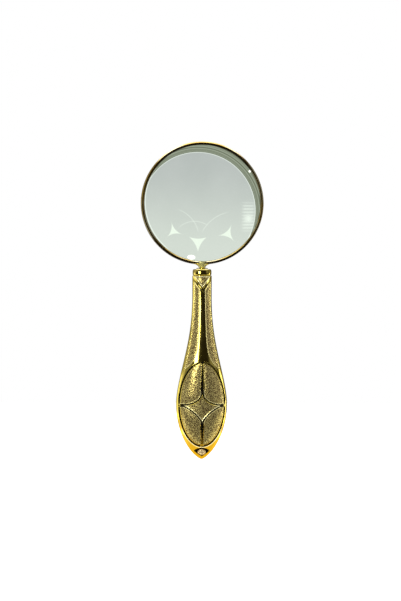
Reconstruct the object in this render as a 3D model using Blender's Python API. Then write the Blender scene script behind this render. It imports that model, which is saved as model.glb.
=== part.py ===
"""Hand magnifier: a 75 mm reading lens in a rolled rim, on a hollow cast handle with relief panels.

Metres, +Z up. The handle stands on the Z axis with its tip down, and its front faces -Y.
The origin is the middle of the handle's oval medallion, on the plane where its two shells meet.
The head (lens, rim, funnel and stud) unscrews about the Z axis, right-hand thread.
"""

import math

import bmesh
import bpy
from mathutils import Matrix, Vector

# Clearance between touching pieces, how far a cutter passes what it cuts, and how near points merge.
GAP = 0.0003
OVERCUT = 0.002
MERGE = 1e-6

# Lens and rim. The lens axis is along Y.
LENS_RADIUS = 0.0375
LENS_EDGE = 0.0030
LENS_SAG = 0.0030
RIM_OUTER_RADIUS = 0.0390
RIM_CLEAR_RADIUS = 0.0369
RIM_DEPTH = 0.0054
RIM_LIP = 0.00075
RIM_WALL = 0.0006
RIM_BACK_ROUND = 0.0003
RIM_FRONT_STEPS = 6
RIM_SPLIT = 0.0006
RIM_STEPS = 72
LENS_STEPS = 48
LENS_CURVE_STEPS = 5
LINER_THICKNESS = 0.0003

# Heights are measured up from the handle's tip.
RIM_CENTRE = 0.1623

# Handle.
HANDLE_LENGTH = 0.1162
OVAL_HEIGHT = 0.0347
OVAL_HALF_WIDTH = 0.01525
OVAL_HALF_LENGTH = 0.0270
WIDEST_HALF_WIDTH = 0.0162
NECK_HALF_WIDTH = 0.0061
NECK_START = 0.1050
TIP_BLUNTNESS = 0.993
TIP_POWER = 0.70
SHOULDER_POWER = 0.85
SHOULDER_FALL = 1.2
CROWN_POWER = 2.2
CROWN_FULLNESS = 0.72
EDGE_HALF_DEPTH = 0.0010
NECK_HALF_DEPTH = 0.0045
OVAL_HALF_DEPTH = 0.0064
TIP_HALF_DEPTH = 0.0026

# Relief on the shells.
SPINE_HALF_WIDTH = 0.0016
SPINE_HEIGHT = 0.0004
PANEL_RECESS = 0.0004
PANEL_BORDER = 0.0012
GROOVE_DEPTH = 0.0008
GROOVE_WIDTH = 0.0014
STAR_HALF_WIDTH = 0.0127
STAR_HALF_HEIGHT = 0.0098

# Faces across and along each shell.
SKIN_COLUMNS = 24
SKIN_ROWS = 62
MEDALLION_ROWS_SHARE = 0.68
HOLLOW_COLUMNS = 8
HOLLOW_ROWS = 18
PIN_STEPS = 12
TURNED_STEPS = 24

# Where the panels fade out round the oval, as multiples of its size.
OVAL_FADE = (1.12, 1.25)
SPINE_SPREAD = 1.5

# The hollow inside the shells.
CAVITY_BOTTOM = 0.0120
CAVITY_TOP = 0.0880
CAVITY_LAND = 0.0030
SHELL_WALL = 0.0016
CORE_CLEARANCE = 0.0005

# Ferrule, washer, funnel and thread, measured up from the handle's tip.
FERRULE_BOTTOM = HANDLE_LENGTH + GAP
FERRULE_TOP = 0.1203
FERRULE_HALF_WIDTH = 0.0060
FERRULE_HALF_DEPTH = 0.0047
FERRULE_SECTIONS = ((0.0, 0.93), (0.10, 0.98), (0.30, 1.0), (0.70, 1.0), (0.88, 0.97), (1.0, 0.90))
OVAL_SQUARENESS = 0.85
OVAL_STEPS = 32
WASHER_THICKNESS = 0.0005
WASHER_RADIUS = 0.0036
FUNNEL_BOTTOM = FERRULE_TOP + 2 * GAP + WASHER_THICKNESS
FUNNEL_BASE_RADIUS = 0.0031
FUNNEL_WAIST_RADIUS = 0.00295
FUNNEL_MOUTH_HALF_WIDTH = 0.0058
FUNNEL_LIP = 0.0006
FUNNEL_FLARE = 2.6
FUNNEL_SECTIONS = 7
SADDLE_STEPS = 160
THREAD_RADIUS = 0.0019
STUD_CHAMFER = 0.0006
STUD_BOTTOM = 0.1103
BUSH_RADIUS = 0.0032
BUSH_BOTTOM = 0.1000
BUSH_BORE_BOTTOM = 0.1080
PIN_HEIGHT = 0.1040
PIN_RADIUS = 0.0008
PIN_HALF_LENGTH = 0.0048

# Dowels and the tip rivet.
DOWEL_RADIUS = 0.0007
DOWEL_HALF_LENGTH = 0.0016
DOWEL_SIDE_X = 0.0139
DOWEL_UPPER_HEIGHT = 0.0925
RIVET_HEIGHT = 0.0044
RIVET_SHANK_RADIUS = 0.0008
RIVET_HEAD_RADIUS = 0.0019
RIVET_HEAD_HEIGHT = 0.0009
RECESS_HALF_WIDTH = 0.0046
RECESS_TOP_HALF_WIDTH = 0.0026
RECESS_BOTTOM = 0.0018
RECESS_TOP = 0.0066
RECESS_CORNER = 0.0053
RECESS_HALF_DEPTH = 0.0018
WASHER_CHAMFER = 0.0002
DOWELS = (
    ("dowel_upper", 0.0, DOWEL_UPPER_HEIGHT),
    ("dowel_left", -DOWEL_SIDE_X, OVAL_HEIGHT),
    ("dowel_right", DOWEL_SIDE_X, OVAL_HEIGHT),
)

# Name, colour, roughness and metallic value.
GOLD = ("gold_plate", (0.86, 0.70, 0.22, 1.0), 0.18, 1.0)
GLASS = ("lens_glass", (0.86, 0.93, 0.88, 1.0), 0.03, 0.0)
LINER = ("pale_liner", (0.86, 0.86, 0.78, 1.0), 0.5, 0.0)
STEEL = ("plain_steel", (0.55, 0.55, 0.56, 1.0), 0.35, 1.0)
BRASS = ("turned_brass", (0.72, 0.56, 0.25, 1.0), 0.30, 1.0)
RESIN = ("core_resin", (0.24, 0.20, 0.16, 1.0), 0.8, 0.0)


def height(above_tip):
    """World Z of a height measured up from the handle's tip."""
    return above_tip - OVAL_HEIGHT


def clear_scene():
    for old in list(bpy.data.objects):
        bpy.data.objects.remove(old, do_unlink=True)


def material(finish):
    name, colour, roughness, metallic = finish
    made = bpy.data.materials.get(name) or bpy.data.materials.new(name)
    made.use_nodes = True
    shader = made.node_tree.nodes["Principled BSDF"]
    shader.inputs["Base Color"].default_value = colour
    shader.inputs["Roughness"].default_value = roughness
    shader.inputs["Metallic"].default_value = metallic
    return made


def empty(name, location):
    made = bpy.data.objects.new(name, None)
    made.location = location
    bpy.context.collection.objects.link(made)
    return made


def piece(name, bm, finish, origin=(0, 0, 0), parent=None):
    """Turns a bmesh in world space into an object whose origin is at the given point."""
    bmesh.ops.recalc_face_normals(bm, faces=bm.faces)
    bmesh.ops.translate(bm, verts=bm.verts, vec=-Vector(origin))
    mesh = bpy.data.meshes.new(name)
    bm.to_mesh(mesh)
    bm.free()
    mesh.shade_smooth()
    mesh.set_sharp_from_angle(angle=math.radians(35))
    made = bpy.data.objects.new(name, mesh)
    bpy.context.collection.objects.link(made)
    made.location = origin
    made.data.materials.append(material(finish))
    if parent:
        made.parent = parent
        made.location = Vector(origin) - parent.location
    return made


def cutter(name, bm):
    made = piece(name, bm, GOLD)
    made.hide_render = True
    made.display_type = "WIRE"
    return made


def cut(target, tool):
    """Takes the tool's shape out of the target."""
    step = target.modifiers.new("cut_" + tool.name, "BOOLEAN")
    step.operation = "DIFFERENCE"
    step.solver = "EXACT"
    step.object = tool


def cylinder(radius, bottom, top, centre=(0, 0, 0), axis="Z", segments=24):
    """A cylinder between two positions along an axis through the centre point."""
    bm = bmesh.new()
    middle = (bottom + top) / 2
    turns = {"Z": Matrix(), "X": Matrix.Rotation(math.pi / 2, 4, "Y"), "Y": Matrix.Rotation(-math.pi / 2, 4, "X")}
    along = {"Z": Vector((0, 0, middle)), "X": Vector((middle, 0, 0)), "Y": Vector((0, middle, 0))}
    place = Matrix.Translation(Vector(centre) + along[axis]) @ turns[axis]
    bmesh.ops.create_cone(
        bm, cap_ends=True, segments=segments, radius1=radius, radius2=radius, depth=top - bottom, matrix=place
    )
    return bm


def turned(profile, closed, steps, centre, axis, sweep=2 * math.pi, start=0.0):
    """Spins a profile of (radius, distance along the axis) points about an axis through the centre."""
    bm = bmesh.new()
    along = Vector(axis)
    out = Matrix.Rotation(start, 3, along) @ Vector((1, 0, 0))
    points = [bm.verts.new(Vector(centre) + out * r + along * a) for r, a in profile]
    pairs = list(zip(points, points[1:]))
    if closed:
        pairs.append((points[-1], points[0]))
    edges = [bm.edges.new(pair) for pair in pairs]
    whole = math.isclose(sweep, 2 * math.pi)
    bmesh.ops.spin(
        bm,
        geom=points + edges,
        cent=centre,
        axis=along,
        angle=sweep,
        steps=steps,
        use_merge=whole,
        use_duplicate=False,
    )
    bmesh.ops.remove_doubles(bm, verts=bm.verts, dist=MERGE)
    if not whole:
        bmesh.ops.holes_fill(bm, edges=[e for e in bm.edges if e.is_boundary])
    return bm


# ---------------------------------------------------------------- handle surface


def half_width(above_tip):
    """Half the handle's width: a pointed oval below its widest place, a smooth shoulder up to the neck."""
    if above_tip <= OVAL_HEIGHT:
        down = TIP_BLUNTNESS * (OVAL_HEIGHT - above_tip) / OVAL_HEIGHT
        return WIDEST_HALF_WIDTH * (1 - down**2) ** TIP_POWER
    up = min((above_tip - OVAL_HEIGHT) / (NECK_START - OVAL_HEIGHT), 1.0)
    swell = ((1 + math.cos(math.pi * up**SHOULDER_POWER)) / 2) ** SHOULDER_FALL
    return NECK_HALF_WIDTH + (WIDEST_HALF_WIDTH - NECK_HALF_WIDTH) * swell


def half_depth(above_tip):
    """Half the handle's depth on its middle line."""
    if above_tip <= OVAL_HEIGHT:
        down = (OVAL_HEIGHT - above_tip) / OVAL_HEIGHT
        return TIP_HALF_DEPTH + (OVAL_HALF_DEPTH - TIP_HALF_DEPTH) * (1 - down**2)
    up = min((above_tip - OVAL_HEIGHT) / (NECK_START - OVAL_HEIGHT), 1.0)
    return NECK_HALF_DEPTH + (OVAL_HALF_DEPTH - NECK_HALF_DEPTH) * (1 + math.cos(math.pi * up)) / 2


def crown(x, above_tip):
    """Depth of the plain domed surface, with no relief."""
    across = min(abs(x) / half_width(above_tip), 1.0)
    dome = (1 - across**CROWN_POWER) ** CROWN_FULLNESS
    return EDGE_HALF_DEPTH + (half_depth(above_tip) - EDGE_HALF_DEPTH) * dome


def smooth_step(low, high, value):
    part = min(max((value - low) / (high - low), 0.0), 1.0)
    return part * part * (3 - 2 * part)


def medallion_relief(x, up):
    """Valleys round the oval, round the four-armed star and between the four panels."""
    ring = math.hypot(x / OVAL_HALF_WIDTH, up / OVAL_HALF_LENGTH)
    steepness = math.hypot(x / OVAL_HALF_WIDTH**2, up / OVAL_HALF_LENGTH**2) / max(ring, 0.05)
    to_oval = abs(ring - 1) / max(steepness, 1e-6)
    valley = to_oval
    if ring < 1:
        star = (abs(x) / STAR_HALF_WIDTH) ** (2 / 3) + (abs(up) / STAR_HALF_HEIGHT) ** (2 / 3)
        valley = min(valley, abs(star - 1) * STAR_HALF_HEIGHT / 2)
        if abs(up) > STAR_HALF_HEIGHT:
            valley = min(valley, abs(x))
    return -GROOVE_DEPTH * (1 - smooth_step(0, GROOVE_WIDTH, valley))


def shaft_relief(x, above_tip):
    """A raised spine with a sunk panel on each side, fading out at the oval."""
    border = half_width(above_tip) - PANEL_BORDER
    lower = smooth_step(0, 1, (NECK_START - above_tip) / (NECK_START - OVAL_HEIGHT - OVAL_HALF_LENGTH))
    spine = SPINE_HALF_WIDTH * (1 + SPINE_SPREAD * lower)
    ring = math.hypot(x / OVAL_HALF_WIDTH, (above_tip - OVAL_HEIGHT) / OVAL_HALF_LENGTH)
    clear_of_oval = smooth_step(*OVAL_FADE, ring)
    inside = smooth_step(spine, spine + PANEL_BORDER, abs(x)) * smooth_step(0, PANEL_BORDER, border - abs(x))
    raised = SPINE_HEIGHT * (1 - smooth_step(0, spine, abs(x)))
    return clear_of_oval * (raised - PANEL_RECESS * inside)


def surface_depth(x, above_tip):
    """Depth of the finished outer surface from the parting plane."""
    relief = medallion_relief(x, above_tip - OVAL_HEIGHT)
    if above_tip > OVAL_HEIGHT:
        relief += shaft_relief(x, above_tip)
    edge = smooth_step(0, PANEL_BORDER, half_width(above_tip) - abs(x))
    return crown(x, above_tip) + relief * edge


def cavity_half_width(part):
    """Half the hollow's width at a part of the way up it, closing at both ends."""
    above_tip = CAVITY_BOTTOM + part * (CAVITY_TOP - CAVITY_BOTTOM)
    closing = (1 - abs(2 * part - 1) ** 6) ** 0.5
    return (half_width(above_tip) - CAVITY_LAND) * closing


def cavity_depth(part, across):
    above_tip = CAVITY_BOTTOM + part * (CAVITY_TOP - CAVITY_BOTTOM)
    deepest = half_depth(above_tip) - GROOVE_DEPTH - SHELL_WALL
    closing = (1 - abs(2 * part - 1) ** 6) ** 0.5
    return deepest * closing * (1 - across**2) ** 0.5


def patch(bm, columns, rows, place):
    """A grid whose points are moved to place(across, along), across from -1 to 1 and along from 0 to 1."""
    made = bmesh.ops.create_grid(bm, x_segments=columns, y_segments=rows, size=1.0)["verts"]
    for vert in made:
        vert.co = place(vert.co.x, (vert.co.y + 1) / 2)
    return made


def boundary(verts):
    return [e for e in {e for v in verts if v.is_valid for e in v.link_edges} if e.is_boundary]


def skin_height(along):
    """Height above the tip of a part of the way up the skin's rows, which are closer on the medallion."""
    oval_top = OVAL_HEIGHT + OVAL_HALF_LENGTH
    if along <= MEDALLION_ROWS_SHARE:
        return oval_top * along / MEDALLION_ROWS_SHARE
    return oval_top + (HANDLE_LENGTH - oval_top) * (along - MEDALLION_ROWS_SHARE) / (1 - MEDALLION_ROWS_SHARE)


def shell(name, side):
    """One half of the handle. side is -1 for the front and 1 for the back."""
    parting = GAP / 2

    def outer(across, along):
        above_tip = skin_height(along)
        x = across * half_width(above_tip)
        return Vector((x, side * surface_depth(x, above_tip), height(above_tip)))

    def inner(across, along):
        above_tip = CAVITY_BOTTOM + along * (CAVITY_TOP - CAVITY_BOTTOM)
        x = across * cavity_half_width(along)
        return Vector((x, side * (parting + cavity_depth(along, across)), height(above_tip)))

    bm = bmesh.new()
    skin = patch(bm, SKIN_COLUMNS, SKIN_ROWS, outer)
    rim_edges = boundary(skin)
    wall = bmesh.ops.extrude_edge_only(bm, edges=rim_edges)["geom"]
    for vert in (g for g in wall if isinstance(g, bmesh.types.BMVert)):
        vert.co.y = side * parting
    hollow = patch(bm, HOLLOW_COLUMNS, HOLLOW_ROWS, inner)
    bmesh.ops.remove_doubles(bm, verts=hollow, dist=MERGE)
    edges = [e for e in bm.edges if e.is_boundary]
    bmesh.ops.triangle_fill(bm, use_beauty=True, edges=edges)
    bmesh.ops.triangulate(bm, faces=bm.faces)
    return piece(name, bm, GOLD)


def core():
    """Filler that fits the hollow with a little clearance."""
    length = CAVITY_TOP - CAVITY_BOTTOM - 2 * CORE_CLEARANCE

    def half(side):
        def place(across, along):
            above_tip = CAVITY_BOTTOM + CORE_CLEARANCE + along * length
            x = across * max(cavity_half_width(along) - CORE_CLEARANCE, 0.0)
            depth = max(cavity_depth(along, across) - CORE_CLEARANCE, 0.0)
            return Vector((x, side * depth, height(above_tip)))

        return place

    bm = bmesh.new()
    patch(bm, HOLLOW_COLUMNS, HOLLOW_ROWS, half(-1))
    patch(bm, HOLLOW_COLUMNS, HOLLOW_ROWS, half(1))
    bmesh.ops.remove_doubles(bm, verts=bm.verts, dist=MERGE)
    bmesh.ops.dissolve_degenerate(bm, edges=bm.edges, dist=MERGE)
    return piece("handle_core", bm, RESIN)


def oval_ring(bm, half_x, half_y, above_tip):
    """A ring of points on an oval, a little squarer than an ellipse."""
    verts = []
    for step in range(OVAL_STEPS):
        angle = 2 * math.pi * step / OVAL_STEPS
        x = math.copysign(abs(math.cos(angle)) ** OVAL_SQUARENESS, math.cos(angle)) * half_x
        y = math.copysign(abs(math.sin(angle)) ** OVAL_SQUARENESS, math.sin(angle)) * half_y
        verts.append(bm.verts.new((x, y, height(above_tip))))
    return verts


def join_rings(bm, loops):
    """Skins a stack of rings and caps its ends."""
    for low, high in zip(loops, loops[1:]):
        count = len(low)
        for i in range(count):
            bm.faces.new((low[i], low[(i + 1) % count], high[(i + 1) % count], high[i]))
    bm.faces.new(loops[0][::-1])
    bm.faces.new(loops[-1])


def ferrule():
    """Rounded collar with full shoulders, bored for the bush."""
    bm = bmesh.new()
    loops = []
    for part, fullness in FERRULE_SECTIONS:
        above_tip = FERRULE_BOTTOM + part * (FERRULE_TOP - FERRULE_BOTTOM)
        loops.append(oval_ring(bm, FERRULE_HALF_WIDTH * fullness, FERRULE_HALF_DEPTH * fullness, above_tip))
    join_rings(bm, loops)
    made = piece("ferrule", bm, GOLD)
    bore = cylinder(BUSH_RADIUS + GAP, height(FERRULE_BOTTOM) - OVERCUT, height(FERRULE_TOP) + OVERCUT)
    cut(made, cutter("collar_bore_cutter", bore))


# ---------------------------------------------------------------- head


def lens(parent):
    """Biconvex glass, spun about the lens axis."""
    curve_radius = (LENS_RADIUS**2 + LENS_SAG**2) / (2 * LENS_SAG)
    half = []
    for step in range(LENS_CURVE_STEPS + 1):
        r = LENS_RADIUS * step / LENS_CURVE_STEPS
        half.append((r, LENS_EDGE / 2 + LENS_SAG - (curve_radius - math.sqrt(curve_radius**2 - r**2))))
    profile = half + [(r, -a) for r, a in reversed(half)]
    bm = turned(profile, False, LENS_STEPS, (0, 0, height(RIM_CENTRE)), (0, 1, 0))
    return piece("lens", bm, GLASS, (0, 0, height(RIM_CENTRE)), parent)


def liner(parent):
    inner = LENS_RADIUS + GAP
    outer = inner + LINER_THICKNESS
    deep = LENS_EDGE / 2
    profile = [(inner, -deep), (outer, -deep), (outer, deep), (inner, deep)]
    bm = turned(profile, True, LENS_STEPS, (0, 0, height(RIM_CENTRE)), (0, 1, 0))
    return piece("lens_liner", bm, LINER, (0, 0, height(RIM_CENTRE)), parent)


def rim(parent):
    """U-channel hoop with a half-round front and a flat back, open by a narrow split at the neck."""
    deep = RIM_DEPTH / 2
    outer = RIM_OUTER_RADIUS
    middle = (outer + RIM_CLEAR_RADIUS) / 2
    bead = (outer - RIM_CLEAR_RADIUS) / 2
    soft = RIM_BACK_ROUND
    profile = []
    for step in range(RIM_FRONT_STEPS + 1):
        angle = math.pi * step / RIM_FRONT_STEPS
        profile.append((middle - bead * math.cos(angle), -deep + RIM_LIP * (1 - math.sin(angle))))
    profile += [
        (outer, deep - soft),
        (outer - soft, deep),
        (RIM_CLEAR_RADIUS + soft, deep),
        (RIM_CLEAR_RADIUS, deep - soft),
        (RIM_CLEAR_RADIUS, deep - RIM_LIP),
        (outer - RIM_WALL, deep - RIM_LIP),
        (outer - RIM_WALL, -deep + RIM_LIP + GAP / 2),
        (RIM_CLEAR_RADIUS, -deep + RIM_LIP + GAP / 2),
    ]
    split = RIM_SPLIT / RIM_OUTER_RADIUS
    start = math.pi / 2 + split / 2
    bm = turned(profile, True, RIM_STEPS, (0, 0, height(RIM_CENTRE)), (0, 1, 0), 2 * math.pi - split, start)
    return piece("rim_channel", bm, GOLD, (0, 0, height(RIM_CENTRE)), parent)


def funnel(parent):
    """Flared socket whose top is hollowed to sit round the rim."""
    mouth = RIM_CENTRE - RIM_OUTER_RADIUS + FUNNEL_LIP
    rise = mouth - FUNNEL_BOTTOM
    bm = bmesh.new()
    loops = []
    for step in range(FUNNEL_SECTIONS + 1):
        part = step / FUNNEL_SECTIONS
        flare = part**FUNNEL_FLARE
        half_x = FUNNEL_WAIST_RADIUS + (FUNNEL_MOUTH_HALF_WIDTH - FUNNEL_WAIST_RADIUS) * flare
        half_x += (FUNNEL_BASE_RADIUS - FUNNEL_WAIST_RADIUS) * (1 - part) ** 4
        half_y = FUNNEL_BASE_RADIUS + (RIM_DEPTH / 2 - FUNNEL_BASE_RADIUS) * part
        loops.append(oval_ring(bm, half_x, half_y, FUNNEL_BOTTOM + part * rise))
    join_rings(bm, loops)
    made = piece("neck_funnel", bm, GOLD, (0, 0, height(FUNNEL_BOTTOM)), parent)
    saddle = cylinder(RIM_OUTER_RADIUS + GAP, -RIM_DEPTH, RIM_DEPTH, (0, 0, height(RIM_CENTRE)), "Y", SADDLE_STEPS)
    cut(made, cutter("saddle_cutter", saddle))
    bore = cylinder(THREAD_RADIUS + GAP, height(FUNNEL_BOTTOM) - OVERCUT, height(mouth) + OVERCUT)
    cut(made, cutter("funnel_bore_cutter", bore))
    return made


def stud(parent):
    top = RIM_CENTRE - RIM_OUTER_RADIUS - 3 * GAP
    bm = cylinder(THREAD_RADIUS, height(STUD_BOTTOM), height(top))
    lower = [e for e in bm.edges if all(v.co.z < height(STUD_BOTTOM) + MERGE for v in e.verts)]
    bmesh.ops.bevel(bm, geom=lower, offset=STUD_CHAMFER, segments=1, affect="EDGES")
    return piece("neck_stud", bm, BRASS, (0, 0, height(STUD_BOTTOM)), parent)


def washer(parent):
    inner = THREAD_RADIUS + GAP
    low = FERRULE_TOP + GAP
    profile = [(inner, 0), (WASHER_RADIUS, 0), (WASHER_RADIUS, WASHER_THICKNESS), (inner, WASHER_THICKNESS)]
    bm = turned(profile, True, TURNED_STEPS, (0, 0, height(low)), (0, 0, 1))
    return piece("stem_washer", bm, GOLD, (0, 0, height(low)), parent)


# ---------------------------------------------------------------- handle's inner pieces


def bush():
    made = piece("socket_bush", cylinder(BUSH_RADIUS, height(BUSH_BOTTOM), height(FERRULE_TOP)), BRASS)
    bore = cylinder(THREAD_RADIUS + GAP, height(BUSH_BORE_BOTTOM), height(FERRULE_TOP) + OVERCUT)
    cut(made, cutter("bush_bore_cutter", bore))
    reach = BUSH_RADIUS + OVERCUT
    cross = cylinder(PIN_RADIUS + GAP, -reach, reach, (0, 0, height(PIN_HEIGHT)), "X", PIN_STEPS)
    cut(made, cutter("bush_pin_hole_cutter", cross))
    return made


def bush_pin():
    shape = cylinder(PIN_RADIUS, -PIN_HALF_LENGTH, PIN_HALF_LENGTH, (0, 0, height(PIN_HEIGHT)), "X", PIN_STEPS)
    return piece("bush_pin", shape, STEEL)


def dowel(name, x, above_tip):
    middle = (x, 0, height(above_tip))
    shape = cylinder(DOWEL_RADIUS, -DOWEL_HALF_LENGTH, DOWEL_HALF_LENGTH, middle, "Y", PIN_STEPS)
    return piece(name, shape, STEEL)


def rivet():
    """Domed head in the front recess, and a shank that ends in the back recess."""
    floor = RECESS_HALF_DEPTH
    profile = [
        (0, -floor - GAP - RIVET_HEAD_HEIGHT),
        (RIVET_HEAD_RADIUS * 0.6, -floor - GAP - RIVET_HEAD_HEIGHT * 0.85),
        (RIVET_HEAD_RADIUS * 0.92, -floor - GAP - RIVET_HEAD_HEIGHT * 0.45),
        (RIVET_HEAD_RADIUS, -floor - GAP),
        (RIVET_SHANK_RADIUS, -floor - GAP),
        (RIVET_SHANK_RADIUS, floor + GAP + RIVET_HEAD_HEIGHT),
        (0, floor + GAP + RIVET_HEAD_HEIGHT),
    ]
    bm = turned(profile, False, TURNED_STEPS, (0, 0, height(RIVET_HEIGHT)), (0, 1, 0))
    return piece("tip_rivet", bm, GOLD)


def rivet_washer():
    inner = RIVET_SHANK_RADIUS + GAP
    low = RECESS_HALF_DEPTH + GAP
    high = low + RIVET_HEAD_HEIGHT
    profile = [
        (inner, low),
        (RIVET_HEAD_RADIUS, low),
        (RIVET_HEAD_RADIUS, high - WASHER_CHAMFER),
        (RIVET_HEAD_RADIUS - WASHER_CHAMFER, high),
        (inner, high),
    ]
    bm = turned(profile, True, TURNED_STEPS, (0, 0, height(RIVET_HEIGHT)), (0, 1, 0))
    return piece("tip_washer", bm, GOLD)


def recess_cutter(name, near, far):
    """A prism along Y with the recess's outline: an arched top over a blunt point."""
    outline = [
        (-RECESS_HALF_WIDTH, RECESS_CORNER),
        (-RECESS_TOP_HALF_WIDTH, RECESS_TOP),
        (RECESS_TOP_HALF_WIDTH, RECESS_TOP),
        (RECESS_HALF_WIDTH, RECESS_CORNER),
        (RIVET_HEAD_RADIUS / 2, RECESS_BOTTOM),
        (-RIVET_HEAD_RADIUS / 2, RECESS_BOTTOM),
    ]
    bm = bmesh.new()
    face = bm.faces.new([bm.verts.new((x, near, height(up))) for x, up in outline])
    pushed = bmesh.ops.extrude_face_region(bm, geom=[face], use_keep_orig=True)["geom"]
    moved = [g for g in pushed if isinstance(g, bmesh.types.BMVert)]
    bmesh.ops.translate(bm, verts=moved, vec=(0, far - near, 0))
    return cutter(name, bm)


def drill_shells(shells):
    """The bush's bore, the pin's hole, the dowel holes and the tip recesses."""
    neck = cylinder(BUSH_RADIUS + GAP, height(BUSH_BOTTOM - GAP), height(FERRULE_TOP) + OVERCUT)
    tools = [cutter("neck_bore_cutter", neck)]
    pin_end = PIN_HALF_LENGTH + GAP
    pin_hole = cylinder(PIN_RADIUS + GAP, -pin_end, pin_end, (0, 0, height(PIN_HEIGHT)), "X", PIN_STEPS)
    tools.append(cutter("pin_hole_cutter", pin_hole))
    ends = DOWEL_HALF_LENGTH + GAP
    for name, x, above_tip in DOWELS:
        hole = cylinder(DOWEL_RADIUS + GAP, -ends, ends, (x, 0, height(above_tip)), "Y", PIN_STEPS)
        tools.append(cutter(name + "_hole_cutter", hole))
    middle = (0, 0, height(RIVET_HEIGHT))
    clear = OVAL_HALF_DEPTH + OVERCUT
    rivet_hole = cylinder(RIVET_SHANK_RADIUS + GAP, -clear, clear, middle, "Y", TURNED_STEPS)
    tools.append(cutter("rivet_hole_cutter", rivet_hole))
    tools.append(recess_cutter("front_recess_cutter", -RECESS_HALF_DEPTH, -clear))
    tools.append(recess_cutter("back_recess_cutter", RECESS_HALF_DEPTH, clear))
    for half in shells:
        for tool in tools:
            cut(half, tool)


def main():
    clear_scene()
    drill_shells([shell("handle_front_shell", -1), shell("handle_back_shell", 1)])
    core()
    ferrule()
    bush()
    bush_pin()
    for name, x, above_tip in DOWELS:
        dowel(name, x, above_tip)
    rivet()
    rivet_washer()
    washer_axis = empty("washer_axis", (0, 0, height(FERRULE_TOP)))
    washer(washer_axis)
    head_axis = empty("head_axis", (0, 0, height(FUNNEL_BOTTOM)))
    for make in (lens, liner, rim, funnel, stud):
        make(head_axis)


main()
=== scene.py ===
import math

import bmesh
import bpy
import numpy as np
from mathutils import Matrix, Vector, noise

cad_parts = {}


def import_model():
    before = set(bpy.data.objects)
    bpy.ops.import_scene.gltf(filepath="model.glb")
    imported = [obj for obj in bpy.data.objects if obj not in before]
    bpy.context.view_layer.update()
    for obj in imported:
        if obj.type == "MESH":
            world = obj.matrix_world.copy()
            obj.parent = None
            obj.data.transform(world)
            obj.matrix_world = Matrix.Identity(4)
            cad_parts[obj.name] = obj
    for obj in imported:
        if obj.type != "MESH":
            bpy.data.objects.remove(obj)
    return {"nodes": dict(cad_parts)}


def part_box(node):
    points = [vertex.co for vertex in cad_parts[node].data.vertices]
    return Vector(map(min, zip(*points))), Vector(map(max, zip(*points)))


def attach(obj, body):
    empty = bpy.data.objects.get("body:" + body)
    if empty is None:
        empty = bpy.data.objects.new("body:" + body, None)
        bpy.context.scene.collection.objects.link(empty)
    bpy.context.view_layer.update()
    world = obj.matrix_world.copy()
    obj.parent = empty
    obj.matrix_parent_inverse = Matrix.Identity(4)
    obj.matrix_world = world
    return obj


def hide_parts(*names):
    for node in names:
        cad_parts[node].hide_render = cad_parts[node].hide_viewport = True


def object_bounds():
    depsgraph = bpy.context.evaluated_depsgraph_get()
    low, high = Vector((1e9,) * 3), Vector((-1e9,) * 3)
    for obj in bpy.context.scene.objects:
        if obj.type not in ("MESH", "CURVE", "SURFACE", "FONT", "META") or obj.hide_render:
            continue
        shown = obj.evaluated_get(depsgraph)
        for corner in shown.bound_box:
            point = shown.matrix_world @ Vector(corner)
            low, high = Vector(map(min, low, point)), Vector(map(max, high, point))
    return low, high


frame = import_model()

cad_low, cad_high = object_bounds()

MM = 0.001

# Places that the frame gives, in metres.
shell_low, shell_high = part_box("handle_front_shell")
rim_low, rim_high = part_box("rim_channel")
lens_low, lens_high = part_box("lens")
liner_low, liner_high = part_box("lens_liner")
ferrule_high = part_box("ferrule")[1]
funnel_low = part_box("neck_funnel")[0]
washer_low, washer_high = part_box("stem_washer")
stud_low, stud_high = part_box("neck_stud")
bush_low, bush_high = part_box("socket_bush")
core_low, core_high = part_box("handle_core")
rivet_low, rivet_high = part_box("tip_rivet")
burr_low, burr_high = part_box("tip_washer")

TIP = shell_low.z
LENS_CENTRE = (rim_low + rim_high) / 2
RIM_OUTER = (rim_high.x - rim_low.x) / 2
RIM_DEPTH = rim_high.y - rim_low.y
LENS_RADIUS = (lens_high.x - lens_low.x) / 2
RIM_BEAD = (RIM_OUTER - LENS_RADIUS + 0.6 * MM) / 2
PARTING = 0.02 * MM
GAP = 0.3 * MM

# Handle surface, in millimetres; heights are measured up from the tip.
LENGTH = (shell_high.z - TIP) / MM
WIDEST = shell_high.x / MM
OVAL_HEIGHT = -TIP / MM
OVAL_HALF_WIDTH = 15.0
OVAL_HALF_LENGTH = 27.0
NECK_HALF_WIDTH = 6.1
NECK_START = 105.0
TIP_BLUNTNESS = 0.993
TIP_POWER = 0.70
SHOULDER_POWER = 0.85
SHOULDER_FALL = 1.2
EDGE_DEPTH = 1.0
NECK_DEPTH = 4.5
OVAL_DEPTH = 6.4
TIP_DEPTH = 2.6

# The camera, in metres and degrees. The last value is how many times the object's height the frame is high.
CAMERA_DISTANCE = 1.5
CAMERA_TURN = -5.0
CAMERA_ROLL = -0.22
CAMERA_SIDE = -0.0009
CAMERA_HEIGHT = (cad_high.z + cad_low.z) / 2 - 0.0002
FRAME_TO_OBJECT = 1.8959

FLOOR_DROP = 0.095
FLOOR_RADIUS = 3.0

# Focal lengths of the lens for light that goes through and light that its far face sends back, in millimetres.
LENS_FOCUS = 221.0
MIRROR_FOCUS = 48.0

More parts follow.
